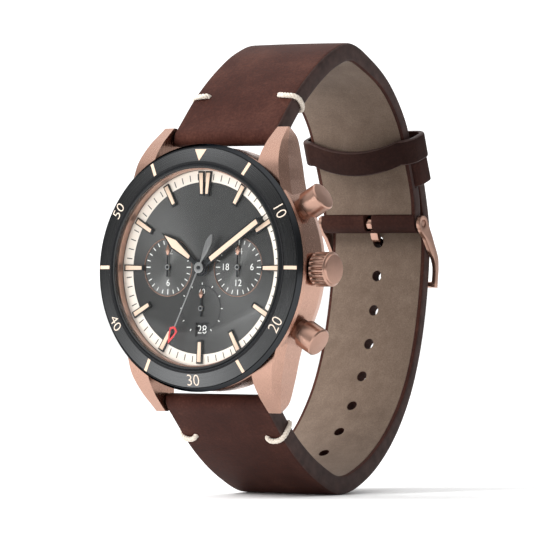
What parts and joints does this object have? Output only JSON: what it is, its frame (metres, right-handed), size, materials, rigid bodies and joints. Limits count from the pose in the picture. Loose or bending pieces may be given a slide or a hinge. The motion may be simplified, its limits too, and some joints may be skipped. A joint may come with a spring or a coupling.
{
  "type": "chronograph wristwatch",
  "caption": "Round chronograph wristwatch with three sub-dials, a crown and two push buttons, on a buckled leather strap closed in a loop.",
  "frame": {"origin": "centre of the case back's flat outer face", "axes": "+X to 3 o'clock, +Z to 12 o'clock, +Y out of the case back towards the wrist; the dial faces -Y"},
  "size_m": [0.0466, 0.0606, 0.0797],
  "materials": {
    "rose_gold": "brushed rose-gold plated steel",
    "steel": "brushed steel",
    "gasket_black": "black seal rubber",
    "bezel_grey": "dark grey brushed and polished coating",
    "glass": "clear mineral glass",
    "dial_grey": "dark grey sunray lacquer",
    "white_plastic": "moulded",
    "brass": "satin",
    "board_green": "solder resist",
    "copper": "enamelled wire winding",
    "date_black": "matt black with printed figures",
    "hand_dark": "dark grey lacquer, bevelled",
    "hand_pale": "pale satin",
    "leather": "fine-grained, waxed, reddish dark brown",
    "lining": "taupe suede lining",
    "thread": "waxed cream twisted thread",
    "cream_paint": "cream luminous paint"
  },
  "bodies": {
    "case": {"case_middle": "rose_gold", "case_back": "steel", "case_back_gasket": "gasket_black", "bezel": "bezel_grey", "bezel_insert": "bezel_grey", "crystal": "glass", "crystal_gasket": "gasket_black", "flange_ring": "rose_gold", "dial": "dial_grey", "index_01": "rose_gold", "index_02": "rose_gold", "index_03": "rose_gold", "index_04": "rose_gold", "index_05": "rose_gold", "index_06": "rose_gold", "index_07": "rose_gold", "index_08": "rose_gold", "index_09": "rose_gold", "index_10": "rose_gold", "index_11": "rose_gold", "index_12_left": "rose_gold", "index_12_right": "rose_gold", "movement_ring": "white_plastic", "main_plate": "brass", "circuit_board": "board_green", "battery": "steel", "motor_coil": "copper", "crown_tube": "steel", "pusher_tube_upper": "rose_gold", "pusher_tube_lower": "rose_gold", "pusher_spring_upper": "steel", "pusher_spring_lower": "steel", "spring_bar_upper": "steel", "spring_bar_lower": "steel", "strap_short": "leather", "strap_long": "leather", "keeper_fixed": "leather", "buckle_bar": "steel"},
    "minute_train": {"minute_wheel": "brass", "minute_hand": "hand_dark"},
    "hour_train": {"hour_wheel": "brass", "hour_hand": "hand_dark"},
    "day_train": {"day_arbor": "steel", "day_hand": "hand_pale"},
    "stopwatch_train": {"stopwatch_arbor": "steel", "stopwatch_hand": "hand_pale"},
    "counter_train": {"counter_arbor": "steel", "counter_hand": "hand_pale"},
    "seconds_train": {"seconds_arbor": "steel", "seconds_hand": "hand_pale"},
    "date_ring": {"date_disc": "date_black"},
    "setting": {"setting_sleeve": "steel"},
    "crown_assembly": {"crown": "rose_gold", "winding_stem": "steel", "crown_gasket": "gasket_black"},
    "button_upper": {"pusher_upper": "rose_gold"},
    "button_lower": {"pusher_lower": "rose_gold"},
    "buckle": {"buckle_frame": "rose_gold"},
    "tongue": {"buckle_tongue": "rose_gold"},
    "loose_keeper": {"keeper_free": "leather"}
  },
  "joints": [
    {"name": "minute_turn", "type": "hinge", "parent": "case", "child": "minute_train", "pos_m": [0, -0.009, 0], "axis": [0, 1, 0], "continuous": true},
    {"name": "hour_turn", "type": "hinge", "parent": "case", "child": "hour_train", "pos_m": [0, -0.009, 0], "axis": [0, 1, 0], "continuous": true},
    {"name": "day_turn", "type": "hinge", "parent": "case", "child": "day_train", "pos_m": [0.00735, -0.009, 0.00015], "axis": [0, 1, 0], "continuous": true},
    {"name": "stopwatch_turn", "type": "hinge", "parent": "case", "child": "stopwatch_train", "pos_m": [0, -0.009, 0], "axis": [0, 1, 0], "continuous": true},
    {"name": "counter_turn", "type": "hinge", "parent": "case", "child": "counter_train", "pos_m": [-0.00745, -0.009, 0.00015], "axis": [0, 1, 0], "continuous": true},
    {"name": "seconds_turn", "type": "hinge", "parent": "case", "child": "seconds_train", "pos_m": [-0.0001, -0.009, -0.007], "axis": [0, 1, 0], "continuous": true},
    {"name": "date_turn", "type": "hinge", "parent": "case", "child": "date_ring", "pos_m": [0, -0.0072, 0], "axis": [0, 1, 0], "continuous": true},
    {"name": "crown_pull", "type": "slide", "parent": "case", "child": "setting", "axis": [1, 0, 0], "range_m": [0, 0.0012]},
    {"name": "crown_turn", "type": "hinge", "parent": "setting", "child": "crown_assembly", "pos_m": [0.02, -0.005, 0], "axis": [1, 0, 0], "continuous": true},
    {"name": "button_upper_press", "type": "slide", "parent": "case", "child": "button_upper", "axis": [-0.8704, 0, -0.4924], "range_m": [0, 0.0009], "stiffness_N_per_m": 2000, "springref_m": -0.0003},
    {"name": "button_lower_press", "type": "slide", "parent": "case", "child": "button_lower", "axis": [-0.8704, 0, 0.4924], "range_m": [0, 0.0009], "stiffness_N_per_m": 2000, "springref_m": -0.0003},
    {"name": "buckle_swing", "type": "hinge", "parent": "case", "child": "buckle", "pos_m": [0, 0.0442, 0.0108], "axis": [1, 0, 0], "range_deg": [0, 100]},
    {"name": "tongue_swing", "type": "hinge", "parent": "case", "child": "tongue", "pos_m": [0, 0.0442, 0.0108], "axis": [1, 0, 0], "range_deg": [0, 6]},
    {"name": "keeper_slide", "type": "slide", "parent": "case", "child": "loose_keeper", "axis": [0, -0.3598, 0.933], "range_m": [0, 0.003]}
  ],
  "couplings": [
    {"joint": "hour_turn", "follows": "minute_turn", "ratio": 0.083333},
    {"joint": "day_turn", "follows": "minute_turn", "ratio": 0.041667},
    {"joint": "counter_turn", "follows": "stopwatch_turn", "ratio": 0.0013889}
  ]
}
